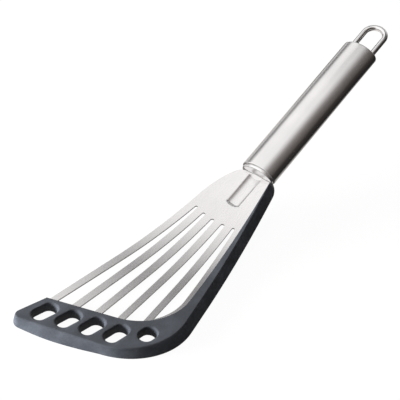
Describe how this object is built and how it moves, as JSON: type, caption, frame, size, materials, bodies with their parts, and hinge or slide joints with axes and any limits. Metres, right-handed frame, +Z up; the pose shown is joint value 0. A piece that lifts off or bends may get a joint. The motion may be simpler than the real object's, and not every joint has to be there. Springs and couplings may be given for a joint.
{
  "type": "fish spatula",
  "caption": "Fish spatula: a long curved steel blade with fanned slots and a moulded plastic edge guard, on an oval steel tube handle with a wire hanging loop.",
  "frame": {"origin": "on the surface that the tool lies on, below the middle of its length and width", "axes": "+Z up, +Y along the tool towards the hanging loop, +X towards the side of the blade that the guard covers"},
  "size_m": [0.0818, 0.3183, 0.0638],
  "materials": {
    "sheet_steel": "fine brushed sheet, satin",
    "tube_steel": "satin, brushed along the tube",
    "polished_steel": "polished stainless steel",
    "weld_steel": "as welded, dull",
    "guard_plastic": "fine matte texture"
  },
  "bodies": {
    "root": {"blade": "sheet_steel", "edge_guard": "guard_plastic", "neck_collar": "polished_steel", "handle_tube": "tube_steel", "end_cap": "polished_steel", "hanging_loop": "polished_steel", "tang_weld_top": "weld_steel", "tang_weld_bottom": "weld_steel", "loop_weld_left": "weld_steel", "loop_weld_right": "weld_steel"}
  },
  "joints": []
}
